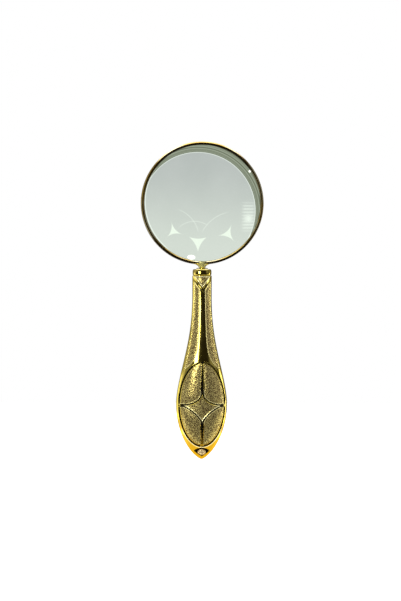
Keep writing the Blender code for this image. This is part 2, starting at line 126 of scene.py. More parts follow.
# Relief, in millimetres.
STAR_HEIGHT = 34.0
STAR_HALF_WIDTH = 12.9
STAR_UP = 8.7
STAR_DOWN = 10.8
STAR_POWER_UP = 0.54
STAR_POWER_DOWN = 0.76
OVAL_GROOVE = 0.80
STAR_GROOVE = 0.54
GROOVE_DEPTH = 1.0
PANEL_RISE = 0.50
BEAD_PITCH = 0.95
SHIELD_APEX = 108.6
SHIELD_SLOPE = 1.36
CHEVRON = 1.9
GRAIN = 0.040
FAR_OUTSIDE = -30.0

# The polished spine, in millimetres: half width at the top, growth per millimetre down, flare at the foot.
SPINE_TOP = 107.2
SPINE_HALF_WIDTH = 1.45
SPINE_GROWTH = 0.022
SPINE_FLARE = 9.5
SPINE_FOOT = 56.3
SPINE_FADE = 5.6
PANEL_FOOT = 75.0

# The hollow inside each shell, in millimetres.
HOLLOW_BOTTOM = (core_low.z - TIP) / MM - 0.5
HOLLOW_TOP = (core_high.z - TIP) / MM + 0.5
HOLLOW_LAND = 3.0
SHELL_WALL = 1.7
BORE_BOTTOM = (bush_low.z - TIP) / MM - 0.3
BORE_RADIUS = (bush_high.x + GAP) / MM

SKIN_COLUMNS = 190
SKIN_ROWS = 430
MEDALLION_ROWS = 260
HOLLOW_COLUMNS = 12


# ---- mesh helpers


def middle_of(low, high):
    """The middle of a piece whose axis runs along Y, on the parting plane."""
    return ((low.x + high.x) / 2, 0, (low.z + high.z) / 2)


def in_scene(name, data):
    made = bpy.data.objects.new(name, data)
    bpy.context.collection.objects.link(made)
    return made


def as_mesh(name, bm):
    mesh = bpy.data.meshes.new(name)
    bm.to_mesh(mesh)
    bm.free()
    return mesh


def new_object(mesh, material, body, replaced):
    """Puts a mesh in the scene as a piece that rides on a body and stands for a CAD node."""
    made = in_scene(mesh.name, mesh)
    made.data.materials.append(material)
    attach(made, body)
    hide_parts(replaced)
    return made


def smooth(mesh, angle=40):
    """Shades smooth, but keeps edges sharper than the angle crisp."""
    mesh.shade_smooth()
    mesh.set_sharp_from_angle(angle=math.radians(angle))
    return mesh


def finish_mesh(name, bm, angle):
    bmesh.ops.recalc_face_normals(bm, faces=bm.faces)
    return smooth(as_mesh(name, bm), angle)


def turned(name, profile, steps, centre, axis, closed, angle=40):
    """Spins (radius, distance along the axis) points about an axis through the centre."""
    bm = bmesh.new()
    along = Vector(axis)
    out = Vector((1, 0, 0))
    points = [bm.verts.new(Vector(centre) + out * radius + along * reach) for radius, reach in profile]
    pairs = list(zip(points, points[1:]))
    if closed:
        pairs.append((points[-1], points[0]))
    edges = [bm.edges.new(pair) for pair in pairs]
    bmesh.ops.spin(
        bm, geom=points + edges, cent=centre, axis=along, angle=2 * math.pi, steps=steps, use_merge=True,
    )
    bmesh.ops.remove_doubles(bm, verts=bm.verts, dist=1e-7)
    return finish_mesh(name, bm, angle)


def arc(centre, radius_a, radius_b, start, end, steps):
    """Points on an elliptical arc, in a profile's own plane; angles in degrees."""
    points = []
    for step in range(steps + 1):
        turn = math.radians(start + (end - start) * step / steps)
        points.append((centre[0] + radius_a * math.cos(turn), centre[1] + radius_b * math.sin(turn)))
    return points


def superellipse(half_x, half_y, z, power, steps):
    """A level ring of points; a power below 1 squares its corners."""
    points = []
    for step in range(steps):
        turn = 2 * math.pi * step / steps
        x = math.copysign(abs(math.cos(turn)) ** power, math.cos(turn)) * half_x
        y = math.copysign(abs(math.sin(turn)) ** power, math.sin(turn)) * half_y
        points.append((x, y, z))
    return points


def lofted(name, rings, angle):
    """Skins a stack of rings with equal counts and caps both ends."""
    bm = bmesh.new()
    loops = [[bm.verts.new(point) for point in ring] for ring in rings]
    count = len(loops[0])
    for low, high in zip(loops, loops[1:]):
        for i in range(count):
            bm.faces.new((low[i], low[(i + 1) % count], high[(i + 1) % count], high[i]))
    bm.faces.new(loops[0][::-1])
    bm.faces.new(loops[-1])
    return finish_mesh(name, bm, angle)


# ---- handle surface


def step_up(low, high, value):
    """0 to 1 with soft ends while the value goes from low to high, in either order."""
    part = np.clip((value - low) / (high - low), 0, 1)
    return part * part * (3 - 2 * part)


def soft_min(a, b, width):
    """The smaller of two distances, rounded where they are nearly equal."""
    blend = np.clip(0.5 + 0.5 * (b - a) / width, 0, 1)
    return b + (a - b) * blend - width * blend * (1 - blend)


def half_width(t):
    """Half the handle's width at a height above the tip."""
    down = TIP_BLUNTNESS * np.clip(OVAL_HEIGHT - t, 0, None) / OVAL_HEIGHT
    up = np.clip((t - OVAL_HEIGHT) / (NECK_START - OVAL_HEIGHT), 0, 1)
    swell = ((1 + np.cos(math.pi * up**SHOULDER_POWER)) / 2) ** SHOULDER_FALL
    shoulder = NECK_HALF_WIDTH + (WIDEST - NECK_HALF_WIDTH) * swell
    return np.where(t <= OVAL_HEIGHT, WIDEST * (1 - down**2) ** TIP_POWER, shoulder)


def middle_depth(t):
    """Half the handle's thickness on its centre line, at a height above the tip."""
    down = np.clip(OVAL_HEIGHT - t, 0, None) / OVAL_HEIGHT
    up = np.clip((t - OVAL_HEIGHT) / (NECK_START - OVAL_HEIGHT), 0, 1)
    lower = TIP_DEPTH + (OVAL_DEPTH - TIP_DEPTH) * (1 - down**2)
    upper = NECK_DEPTH + (OVAL_DEPTH - NECK_DEPTH) * (1 + np.cos(math.pi * up)) / 2
    return np.where(t <= OVAL_HEIGHT, lower, upper)


def crown(x, t):
    """Depth of the plain rounded surface, before any relief."""
    across = np.clip(np.abs(x) / half_width(t), 0, 1)
    return EDGE_DEPTH + (middle_depth(t) - EDGE_DEPTH) * (1 - across**2.2) ** 0.72


def spine_half_width(t):
    """The polished spine: slim at the top, flaring round the oval at its foot."""
    straight = SPINE_HALF_WIDTH + SPINE_GROWTH * (SPINE_TOP - t)
    return straight + SPINE_FLARE * np.exp(-(t - SPINE_FOOT) / SPINE_FADE)


def centre_groove(t):
    """Half the width of the groove between left and right panels, widest at the star's points."""
    star_top, star_foot = STAR_HEIGHT + STAR_UP, STAR_HEIGHT - STAR_DOWN
    above = np.clip((t - star_top) / (OVAL_HEIGHT + OVAL_HALF_LENGTH - star_top), 0, 1)
    below = np.clip((star_foot - t) / (star_foot - OVAL_HEIGHT + OVAL_HALF_LENGTH), 0, 1)
    upper = 0.20 + 0.72 * (1 - above) ** 2
    lower = 0.12 + 0.80 * (1 - below) ** 1.15
    return np.where(t > STAR_HEIGHT, upper, lower)


def to_oval(x, t):
    """Distance inside the oval, negative outside."""
    up = t - OVAL_HEIGHT
    ring = np.hypot(x / OVAL_HALF_WIDTH, up / OVAL_HALF_LENGTH) + 1e-6
    slope = np.hypot(x / OVAL_HALF_WIDTH**2, up / OVAL_HALF_LENGTH**2) / ring + 1e-6
    return (1 - ring) / slope


def star_outline(steps=240):
    """Points round the star: hollow-sided curves between four points, longer below than above."""
    points = []
    for step in range(steps):
        turn = 2 * math.pi * step / steps
        tall, power = (STAR_UP, STAR_POWER_UP) if math.sin(turn) >= 0 else (STAR_DOWN, STAR_POWER_DOWN)
        x = STAR_HALF_WIDTH * math.copysign(abs(math.cos(turn)) ** (2 / power), math.cos(turn))
        up = tall * math.copysign(abs(math.sin(turn)) ** (2 / power), math.sin(turn))
        points.append((x, STAR_HEIGHT + up))
    return np.array(points)


def to_star(x, t):
    """Distance inside the four-pointed star, negative outside."""
    outline = star_outline()
    best = np.full(x.shape, 1e9)
    for (ax, at), (bx, bt) in zip(outline, np.roll(outline, -1, axis=0)):
        dx, dt = bx - ax, bt - at
        long = dx * dx + dt * dt
        if long < 1e-12:
            continue
        along = np.clip(((x - ax) * dx + (t - at) * dt) / long, 0, 1)
        best = np.minimum(best, (x - ax - along * dx) ** 2 + (t - at - along * dt) ** 2)
    tall = np.where(t >= STAR_HEIGHT, STAR_UP, STAR_DOWN)
    power = np.where(t >= STAR_HEIGHT, STAR_POWER_UP, STAR_POWER_DOWN)
    inside = (np.abs(x) / STAR_HALF_WIDTH) ** power + (np.abs(t - STAR_HEIGHT) / tall) ** power < 1
    return np.where(inside, np.sqrt(best), -np.sqrt(best))


def edge_bead(distance, at, width):
    """1 at a distance from an edge, falling off to either side over a width."""
    return np.exp(-(((distance - at) / width) ** 2))


def medallion_distances(x, t):
    """How far inside the oval, the nearest of its four panels and the star a point lies."""
    oval = to_oval(x, t)
    near = oval > -1.0
    star = np.full(x.shape, FAR_OUTSIDE)
    star[near] = to_star(x[near], t[near])
    aside = np.abs(x)
    panel = soft_min(oval - OVAL_GROOVE, aside - centre_groove(t), 0.5)
    panel = soft_min(panel, -star - STAR_GROOVE, 0.6)
    cross = np.abs(t - STAR_HEIGHT) - 0.55 - 0.25 * step_up(8.0, 13.0, aside)
    panel = np.where(aside > 6.0, np.minimum(panel, cross), panel)
    return oval, panel, star


def bridges(x, t, oval):
    """Where plain metal crosses the oval's groove: beside the star's side points and at the foot."""
    sides = step_up(1.5, 0.8, np.abs(t - STAR_HEIGHT) + 0.45 * oval) * step_up(1.7, 1.1, oval)
    foot = step_up(1.1, 0.6, np.abs(x)) * step_up(2.0, 1.2, oval) * (t < STAR_HEIGHT - STAR_DOWN)
    return np.maximum(sides, foot)


def medallion_height(panel, star, bridge, dot):
    """Pillowed panels and a flat star with raised edges, standing in a groove."""
    pillow = PANEL_RISE * (1 - np.exp(-np.clip(panel, 0, None) / 2.4)) - 0.12
    height = -GROOVE_DEPTH + step_up(0, 0.26, panel) * (GROOVE_DEPTH + pillow)
    height = height + 0.16 * edge_bead(panel, 0.40, 0.20)
    star_height = -GROOVE_DEPTH + step_up(-0.05, 0.22, star) * (GROOVE_DEPTH - 0.10)
    star_height = star_height + 0.24 * edge_bead(star, 0.36, 0.22) + 0.50 * dot
    height = np.maximum(height, star_height)
    return height + bridge * (0.05 - height) * 0.9


def medallion_wear_and_highlight(t, panel, star, dot):
    """Pale edges, partly rubbed wear and partly painted highlight: of the panels beside the star, of the
    star's lower half and its dot, where the paleness is a painted highlight.
    """
    beside_star = edge_bead(panel, 0.36, 0.24) * step_up(-2.2, -1.2, star) * 0.8
    # The star's pale edge on its lower half only: a painted highlight.
    star_edge_highlight = edge_bead(star, 0.36, 0.32) * step_up(STAR_HEIGHT + 0.6, STAR_HEIGHT - 0.4, t)
    return np.maximum(np.maximum(beside_star, star_edge_highlight), np.clip(dot * 1.5, 0, 1))


def medallion(x, t):
    """(height, stipple, groove, wear and painted highlight, inside) of the oval: four panels and a star
    between dark grooves.
    """
    oval, panel, star = medallion_distances(x, t)
    bridge = bridges(x, t, oval)
    # A raised dot under the star's lower point, also pale in the edge mask as a painted highlight.
    dot = np.exp(-(x**2 + (t - STAR_HEIGHT + STAR_DOWN - 0.4) ** 2) / 0.30)
    stipple = np.maximum(step_up(0.42, 0.64, panel), step_up(0.46, 0.68, star)) * (1 - bridge)
    ground = np.maximum(step_up(0.10, 0.24, panel), step_up(0.06, 0.20, star))
    groove = (1 - ground) * (1 - bridge)
    inside = step_up(0, 0.22, oval)
    # A raised lip round the oval's lower part, also pale in the edge mask as a painted highlight.
    lip = edge_bead(oval, -0.22, 0.26) * step_up(OVAL_HEIGHT - 12, OVAL_HEIGHT - 20, t)
    height = medallion_height(panel, star, bridge, dot) * inside + 0.20 * lip
    wear_and_highlight = np.maximum(medallion_wear_and_highlight(t, panel, star, dot) * inside, lip)
    return height, stipple * inside, groove * inside, wear_and_highlight, inside


def border_lean(t):
    """Slant length over width of the handle's outline at a height, from its slope there."""
    last = 1999
    slope = np.gradient(half_width(np.linspace(0, LENGTH, last + 1)), LENGTH / last)
    place = np.clip((t / LENGTH * last).astype(int), 0, last)
    return np.sqrt(1 + slope[place] ** 2)


def side_panel(x, t, chevron):
    """How far inside a side panel a point lies: between border, spine, chevron and the oval's rim."""
    margin = 0.75 + 0.5 * step_up(PANEL_FOOT, 58, t)
    outer = (half_width(t) - margin - np.abs(x)) / border_lean(t)
    inner = np.abs(x) - spine_half_width(t)
    panel = soft_min(soft_min(outer, inner, 0.35), chevron - CHEVRON, 0.5)
    return np.where(t < PANEL_FOOT, np.minimum(panel, -to_oval(x, t) - 1.25), panel)


def shaft(x, t):
    """(height, stipple, wear and painted highlight) above the oval: spine, side panels and the shield under
    the collar.
    """
    width, spine, aside = half_width(t), spine_half_width(t), np.abs(x)
    chevron = (SHIELD_APEX + SHIELD_SLOPE * aside - t) / math.hypot(1, SHIELD_SLOPE)
    panel = side_panel(x, t, chevron)
    shield = soft_min(-chevron - 0.1, 5.15 - aside, 0.5)
    shield = soft_min(shield, LENGTH - 0.5 - t, 0.4)
    sunk = step_up(0.05, 0.40, panel)
    beads = 0.5 + 0.5 * np.cos(2 * math.pi * t / BEAD_PITCH)
    milled = edge_bead(panel, 0.30, 0.19) * (0.08 + 0.15 * beads)
    lateral = np.clip((aside - spine) / np.maximum(width - spine, 0.5), 0, 1)
    height = milled - (0.24 + 0.45 * lateral) * sunk
    ripple = 1 + 0.5 * np.sin(x * 4.1 + 2.2 * t) * np.sin(2.7 * t)
    height = height + 0.20 * ripple * edge_bead(shield, 0.25, 0.30) - 0.10 * step_up(0.4, 0.8, shield)
    height = height - 0.28 * edge_bead(chevron, CHEVRON * 0.55, 0.5) * (aside < width - 0.3)
    stipple = np.maximum(step_up(0.52, 0.75, panel), step_up(0.48, 0.75, shield))
    stipple = stipple * (sunk + step_up(0.0, 0.3, shield) > 0.5)
    # Pale edges of the side panels and shield: partly wear, partly painted highlight.
    wear_and_highlight = np.maximum(edge_bead(panel, 0.30, 0.24) * (0.3 + 0.7 * beads), edge_bead(shield, 0.25, 0.34))
    above = step_up(OVAL_HEIGHT + 6, OVAL_HEIGHT + 14, t) * step_up(-1.0, -1.5, to_oval(x, t))
    return height * above, stipple * above, wear_and_highlight * above


def tip_recess(x, t):
    """How far inside the recess round the tip's boss a point lies: an arched top over a blunt point."""
    top = 7.25 - 0.070 * x**2
    side = (5.3 - np.abs(x) - np.clip(5.7 - t, 0, None) ** 1.35 * 0.85) / 1.5
    return soft_min(soft_min(top - t, side, 0.3), t - 1.6, 0.4)


def grains(x, t):
    """Cast stipple: small bumps at two scales."""
    values = np.empty(x.size)
    for i, (px, pt) in enumerate(zip(x.ravel(), t.ravel())):
        coarse = noise.noise(Vector((px * 1.9, pt * 1.9, 0.7)))
        fine = noise.noise(Vector((px * 3.7, pt * 3.7, 3.1)))
        values[i] = coarse + 0.7 * fine
    return values.reshape(x.shape)


def relief(x, t):
    """(depth from the parting plane in millimetres, then stipple, groove and pale-edge masks, the last partly
    wear and partly painted highlight) of the surface.
    """
    oval_height, oval_stipple, oval_groove, oval_wear_and_highlight, inside = medallion(x, t)
    shaft_height, shaft_stipple, shaft_wear_and_highlight = shaft(x, t)
    height = oval_height + shaft_height * (1 - inside)
    stipple = np.maximum(oval_stipple, shaft_stipple * (1 - inside))
    recess = step_up(0.0, 0.3, tip_recess(x, t))
    edge = step_up(0, 0.8, half_width(t) - np.abs(x))
    depth = crown(x, t) + height * edge
    floor = -rivet_low.y / MM - 0.95
    depth = depth + recess * (np.minimum(floor, depth) - depth)
    depth = depth + GRAIN * grains(x, t) * stipple
    groove = np.maximum(oval_groove, recess)
    wear_and_highlight = np.maximum(oval_wear_and_highlight, shaft_wear_and_highlight * (1 - inside))
    return depth, stipple * (1 - recess), groove * edge, wear_and_highlight * (1 - recess) * edge


def skin_heights():
    """Row heights, closer together on the medallion than on the shaft."""
    oval_top = OVAL_HEIGHT + OVAL_HALF_LENGTH + 1.5
    lower = np.linspace(0, oval_top, MEDALLION_ROWS, endpoint=False)
    upper = np.linspace(oval_top, LENGTH, SKIN_ROWS - MEDALLION_ROWS + 1)
    return np.concatenate([lower, upper])


def hollow_profile(t):
    """(half width, depth) of the hollow at a height: the bowl, a solid web, then the bush's bore."""
    part = np.clip((t - HOLLOW_BOTTOM) / (HOLLOW_TOP - HOLLOW_BOTTOM), 0, 1)
    closing = np.sqrt(np.clip(1 - np.abs(2 * part - 1) ** 6, 0, None))
    width = (half_width(t) - HOLLOW_LAND) * closing
    depth = (middle_depth(t) - GROOVE_DEPTH - SHELL_WALL) * closing
    bored = t >= BORE_BOTTOM
    return np.where(bored, BORE_RADIUS, width), np.where(bored, BORE_RADIUS, depth)


def shell_rings(rows):
    """(rings of points in millimetres, masks) of a half shell: left edge, relief, right edge, hollow."""
    across = np.linspace(-1, 1, SKIN_COLUMNS + 1)
    t = np.repeat(rows[:, None], SKIN_COLUMNS + 1, axis=1)
    x = across[None, :] * half_width(t)
    depth, *skin_masks = relief(x, t)
    parting = PARTING / MM
    left = np.stack([x[:, 0], np.full(len(rows), parting), rows], axis=1)
    right = np.stack([x[:, -1], np.full(len(rows), parting), rows], axis=1)
    skin = np.stack([x, depth, t], axis=2)
    width, deep = hollow_profile(rows)
    turn = np.linspace(math.pi, 0, HOLLOW_COLUMNS + 1)
    hollow = np.stack([
        width[:, None] * np.cos(turn)[None, :],
        parting + deep[:, None] * np.sin(turn)[None, :],
        np.repeat(rows[:, None], HOLLOW_COLUMNS + 1, axis=1),
    ], axis=2)
    rings = np.concatenate([left[:, None], skin, right[:, None], hollow[:, ::-1]], axis=1)
    masks = np.zeros((*rings.shape[:2], 4), np.float32)
    for channel, mask in enumerate(skin_masks):
        masks[:, 1:SKIN_COLUMNS + 2, channel] = mask
    masks[:, :, 3] = 1.0
    return rings, masks


def tube_faces(rows, count):
    """Faces between rings of points, and one across each end."""
    faces = []
    for row in range(rows - 1):
        low, high = row * count, (row + 1) * count
        for i in range(count):
            j = (i + 1) % count
            faces.append((low + i, low + j, high + j, high + i))
    top = (rows - 1) * count
    faces.append(tuple(range(count)))
    faces.append(tuple(top + i for i in range(count)))
    return faces


def weld_hollow(mesh, count):
    """Merges the hollow's points where it closes at its ends, and makes the faces agree."""
    bm = bmesh.new()
    bm.from_mesh(mesh)
    inner = [vert for i, vert in enumerate(bm.verts) if i % count > SKIN_COLUMNS + 2]
    bmesh.ops.remove_doubles(bm, verts=inner, dist=1e-6)
    bmesh.ops.recalc_face_normals(bm, faces=bm.faces)
    bm.to_mesh(mesh)
    bm.free()


def shell(name, side, material, node):
    """One hollow half of the handle with its full relief. side is -1 for the front, 1 for the back."""
    rings, masks = shell_rings(skin_heights())
    rows, count = rings.shape[:2]
    points = rings.reshape(-1, 3) * MM
    points[:, 1] *= side
    points[:, 2] += TIP
    mesh = bpy.data.meshes.new(name)
    mesh.from_pydata(points.tolist(), [], tube_faces(rows, count))
    layer = mesh.color_attributes.new("relief", "FLOAT_COLOR", "POINT")
    layer.data.foreach_set("color", masks.ravel())
    weld_hollow(mesh, count)
    return new_object(smooth(mesh, 50), material, "handle", node)


# ---- other pieces


def rim(material):
    """Rolled hoop: half-round front bead, straight wall, flat back with small rounds, channel inside."""
    middle = RIM_OUTER - RIM_BEAD
    deep = RIM_DEPTH / 2
    clear = middle - RIM_BEAD
    soft = 0.3 * MM
    channel_wall = RIM_OUTER - 0.6 * MM
    lip = deep - 0.75 * MM
    profile = arc((middle, -deep + RIM_BEAD * 0.9), RIM_BEAD, RIM_BEAD * 0.9, 180, 360, 20)
    profile += arc((RIM_OUTER - soft, deep - soft), soft, soft, 0, 90, 5)
    profile += arc((clear + soft, deep - soft), soft, soft, 90, 180, 5)
    profile += [(clear, lip), (channel_wall, lip), (channel_wall, -lip + 0.1 * MM), (clear, -lip + 0.1 * MM)]
    mesh = turned("rim_hoop", profile, 256, LENS_CENTRE, (0, 1, 0), True, 45)
    return new_object(mesh, material, "head", "rim_channel")


def glass(material):
    """Lens with two bulging faces and a narrow ground bevel at each edge."""
    sag = 3.0 * MM
    edge = (lens_high.y - lens_low.y) / 2 - sag
    curve = (LENS_RADIUS**2 + sag**2) / (2 * sag)
    steps = 40
    front = []
    for step in range(steps + 1):
        radius = (LENS_RADIUS - 0.15 * MM) * step / steps
        front.append((radius, edge + sag - (curve - math.sqrt(curve**2 - radius**2))))
    profile = front + [(LENS_RADIUS, edge - 0.1 * MM), (LENS_RADIUS, -edge + 0.1 * MM)]
    profile += [(radius, -reach) for radius, reach in reversed(front)]
    mesh = turned("lens_glass", profile, 192, LENS_CENTRE, (0, 1, 0), False, 30)
    return new_object(mesh, material, "head", "lens")


def bedding(material):
    """Soft pale strip round the glass, slightly rounded."""
    inner = LENS_RADIUS + GAP
    outer = (liner_high.x - liner_low.x) / 2
    deep = (liner_high.y - liner_low.y) / 2
    soft = (outer - inner) / 2
    profile = arc(((inner + outer) / 2, -deep + soft), soft, soft, 180, 360, 6)
    profile += arc(((inner + outer) / 2, deep - soft), soft, soft, 0, 180, 6)
    mesh = turned("bedding_strip", profile, 192, LENS_CENTRE, (0, 1, 0), True, 60)
    return new_object(mesh, material, "head", "lens_liner")


def funnel(material):
    """Flared neck, soft at its foot, spreading into the rim and lapping over its face."""
    foot, mouth = funnel_low.z, rim_low.z + 1.9 * MM
    lap = RIM_DEPTH / 2 / MM + 0.15
    rings = []
    steps = 28
    for step in range(steps + 1):
        part = step / steps
        z = foot + (mouth - foot) * part
        half_x = 2.1 + 0.35 * (1 - part) ** 6 + 7.4 * max(0.0, min(part, 0.66) - 0.12) ** 1.35
        half_y = 2.3 + (lap - 2.3) * min(part / 0.7, 1.0) ** 1.5
        inset = 0.18 * max(0.0, 1 - part / 0.07)
        rings.append(superellipse((half_x - inset) * MM, (half_y - inset) * MM, z, 1.0, 96))
    return new_object(lofted("neck_flare", rings, 40), material, "head", "neck_funnel")


def collar(material):
    """Cushion-shaped collar: a rounded band, turned in at foot and top, with the bush's bore."""
    foot, top = shell_high.z + 0.02 * MM, ferrule_high.z
    half_x, half_y = ferrule_high.x / MM, ferrule_high.y / MM
    round_up = 1.15
    profile = []
    for turn in np.linspace(0, math.pi, 33):
        part = 0.5 - 0.5 * math.copysign(abs(math.cos(turn)) ** 0.7, math.cos(turn))
        profile.append((part, round_up * (1 - math.sin(turn) ** 0.55)))
    rings = []
    for part, inset in profile:
        z = foot + (top - foot) * min(part, 1.0)
        rings.append(superellipse((half_x - inset) * MM, (half_y - inset) * MM, z, 0.85, 96))
    mesh = lofted("collar_band", rings, 50)
    made = new_object(mesh, material, "handle", "ferrule")
    drill(made, bush_high.x + GAP, foot - MM, top + MM)
    return made


def drill(obj, radius, low, high):
    """Cuts a round bore along Z and keeps the result as plain mesh."""
    bm = bmesh.new()
    place = Matrix.Translation((0, 0, (low + high) / 2))
    bmesh.ops.create_cone(
        bm, cap_ends=True, segments=64, radius1=radius, radius2=radius, depth=high - low, matrix=place,
    )
    tool = in_scene("bore_tool", as_mesh("bore_tool", bm))
    step = obj.modifiers.new("bore", "BOOLEAN")
    step.operation = "DIFFERENCE"
    step.solver = "EXACT"
    step.object = tool
    graph = bpy.context.evaluated_depsgraph_get()
    cut_mesh = bpy.data.meshes.new_from_object(obj.evaluated_get(graph))
    obj.modifiers.clear()
    obj.data = smooth(cut_mesh)
    bpy.data.objects.remove(tool, do_unlink=True)


def washer(material):
    """Thin turned washer with softened edges."""
    inner = stud_high.x + GAP
    outer = washer_high.x
    thick = washer_high.z - washer_low.z
    soft = 0.12 * MM
    profile = [(inner, 0.0), (outer - soft, 0.0)]
    profile += arc((outer - soft, soft), soft, soft, -90, 0, 3)[1:]
    profile += arc((outer - soft, thick - soft), soft, soft, 0, 90, 3)
    profile += [(inner, thick)]
    centre = (0, 0, washer_low.z)
    mesh = turned("neck_washer", profile, 96, centre, (0, 0, 1), True)
    return new_object(mesh, material, "washer", "stem_washer")


def stud(material):
    """Stud with a cut right-hand thread."""
    pitch, root, crest = 0.70, 1.50, stud_high.x / MM
    low, high = stud_low.z / MM, stud_high.z / MM
    rows, around = int((high - low) / pitch * 10), 48
    rings = []
    for row in range(rows + 1):
        z = low + (high - low) * row / rows
        ring = []
        for i in range(around):
            turn = 2 * math.pi * i / around
            phase = ((z - low) / pitch - i / around) % 1.0
            tooth = 1 - abs(2 * phase - 1)
            start = min((z - low) / 0.9, 1.0)
            radius = root + (crest - root) * min(tooth * 1.25, 1.0) * start
            ring.append((radius * MM * math.cos(turn), radius * MM * math.sin(turn), z * MM))
        rings.append(ring)
    return new_object(lofted("neck_screw", rings, 25), material, "head", "neck_stud")


def boss(material):
    """The tip rivet: a low, wide domed head with a grained top, and its shank."""
    face = (rivet_high.x - rivet_low.x) / 2
    near, seat = rivet_low.y, rivet_low.y + 0.9 * MM
    steps = 14
    profile = []
    for step in range(steps + 1):
        turn = math.pi / 2 * step / steps
        profile.append((face * math.sin(turn) ** 0.9, seat + (near - seat) * math.cos(turn) ** 0.8))
    shank = 0.8 * MM
    far = rivet_high.y
    profile += [(shank, seat), (shank, far - 0.15 * MM), (shank * 0.7, far), (0, far)]
    mesh = turned("tip_boss", profile, 64, middle_of(rivet_low, rivet_high), (0, 1, 0), False, 50)
    widening = 1.40
    for vert in mesh.vertices:
        vert.co.x *= widening
        if vert.co.y < seat - 0.1 * MM:
            place = vert.co / MM
            vert.co.y += 0.09 * MM * noise.noise(Vector((place.x * 1.7, 0.3, place.z * 1.7)))
    return new_object(mesh, material, "handle", "tip_rivet")


def burr(material):
    """Rivet burr on the back: a small ring with rounded shoulders."""
    inner = 1.1 * MM
    outer = (burr_high.x - burr_low.x) / 2
    low, high = burr_low.y, burr_high.y
    soft = 0.35 * MM
    profile = [(inner, low), (outer, low), (outer, high - soft)]
    profile += arc((outer - soft, high - soft), soft, soft, 0, 90, 6)[1:]
    profile += [(inner + 0.1 * MM, high), (inner, high - 0.1 * MM)]
    mesh = turned("tip_burr", profile, 64, middle_of(burr_low, burr_high), (0, 1, 0), True)
    return new_object(mesh, material, "handle", "tip_washer")


# ---- materials


class Tree:
    """Short calls for building a node tree."""

    def __init__(self, owner, place):
        owner.use_nodes = True
        self.tree = owner.node_tree
        self.place = self.add("ShaderNodeTexCoord").outputs[place]

    def add(self, kind, **settings):
        node = self.tree.nodes.new(kind)
        for key, value in settings.items():
            setattr(node, key, value)
        return node

    def link(self, output, target):
        self.tree.links.new(output, target)

    def put(self, socket, value):
        """Sets a socket to a plain number or colour, or links an output to it."""
        if isinstance(value, (tuple, int, float)):
            socket.default_value = value
        else:
            self.link(value, socket)

    def fill(self, node, **values):
        """Sets a node's sockets by name, with _ for a space."""
        for key, value in values.items():
            self.put(node.inputs[key.replace("_", " ")], value)
        return node

    def noise(self, scale, detail=4.0, rough=0.55, stretch=None):
        place = self.place
        if stretch:
            place = self.fill(self.add("ShaderNodeMapping"), Scale=stretch, Vector=place).outputs["Vector"]
        node = self.add("ShaderNodeTexNoise")
        return self.fill(node, Scale=scale, Detail=detail, Roughness=rough, Vector=place).outputs["Fac"]

    def clouds(self, scale):
        """Soft patches from 0 to 1."""
        return self.spread(self.noise(scale, 3.0), 0.35, 0.65, 0.0, 1.0)

    def cells(self, scale):
        return self.fill(self.add("ShaderNodeTexVoronoi"), Scale=scale, Vector=self.place).outputs["Distance"]

    def spread(self, value, low, high, new_low, new_high):
        """Maps low to new_low and high to new_high, and stops there."""
        node = self.add("ShaderNodeMapRange")
        self.fill(node, Value=value, From_Min=low, From_Max=high, To_Min=new_low, To_Max=new_high)
        return node.outputs["Result"]

    def smooth_spread(self, value, low, high):
        """0 to 1 with soft ends while the value goes from low to high, in either order."""
        if low > high:
            return self.math("SUBTRACT", 1.0, self.smooth_spread(value, high, low))
        node = self.add("ShaderNodeMapRange", interpolation_type="SMOOTHSTEP")
        return self.fill(node, Value=value, From_Min=low, From_Max=high).outputs["Result"]

    def band(self, value, rise, fall):
        """1 between a soft rise and a soft fall, each given by where it starts and ends."""
        return self.product(self.smooth_spread(value, *rise), self.smooth_spread(value, *fall))

    def math(self, operation, a, b=0.0):
        node = self.add("ShaderNodeMath", operation=operation)
        self.put(node.inputs[0], a)
        self.put(node.inputs[1], b)
        return node.outputs[0]

    def joined(self, operation, *values):
        """Takes any number of values through a two-value operation, from left to right."""
        result = values[0]
        for value in values[1:]:
            result = self.math(operation, result, value)
        return result

    def product(self, *values):
        return self.joined("MULTIPLY", *values)

    def mix(self, factor, a, b):
        """Mixes colours; each may be an output or a colour."""
        node = self.add("ShaderNodeMix", data_type="RGBA")
        self.put(node.inputs["Factor"], factor)
        self.put(node.inputs[6], a)
        self.put(node.inputs[7], b)
        return node.outputs[2]


class Nodes(Tree):
    """A material built round one Principled shader."""

    def __init__(self, name):
        self.material = bpy.data.materials.new(name)
        super().__init__(self.material, "Object")
        self.shader = self.tree.nodes["Principled BSDF"]

    def bump(self, height, strength, distance, after=None):
        """Roughens the surface, on top of another bump where there is one; distance is in metres."""
        node = self.fill(self.add("ShaderNodeBump"), Strength=strength, Distance=distance, Height=height)
        if after:
            self.link(after, node.inputs["Normal"])
        return node.outputs["Normal"]

    def set(self, **values):
        self.fill(self.shader, **values)
        return self.material


def gold_tone(nodes):
    """Plating colour: greenish yellow above with faint clouding, warmer towards the tip, where the amber is a
    painted warm glow from below.
    """
    height = nodes.add("ShaderNodeSeparateXYZ")
    nodes.link(nodes.place, height.inputs[0])
    # Painted warm glow: the amber towards the tip stands in for warm light from below.
    painted_warm_glow = nodes.spread(height.outputs["Z"], TIP + 0.034, TIP + 0.004, 0.0, 1.0)
    upper = nodes.mix(nodes.clouds(90.0), (0.86, 0.71, 0.16, 1), (0.93, 0.78, 0.24, 1))
    return nodes.mix(painted_warm_glow, upper, (1.0, 0.57, 0.020, 1))


def plating_roughness(nodes, scratches, scratched):
    """Low roughness with smudges, raised by up to so much in the fine scratches."""
    smudges = nodes.spread(nodes.noise(110.0, 3.0), 0.35, 0.7, 0.07, 0.15)
    return nodes.math("ADD", smudges, nodes.spread(scratches, 0.5, 0.8, 0.0, scratched))


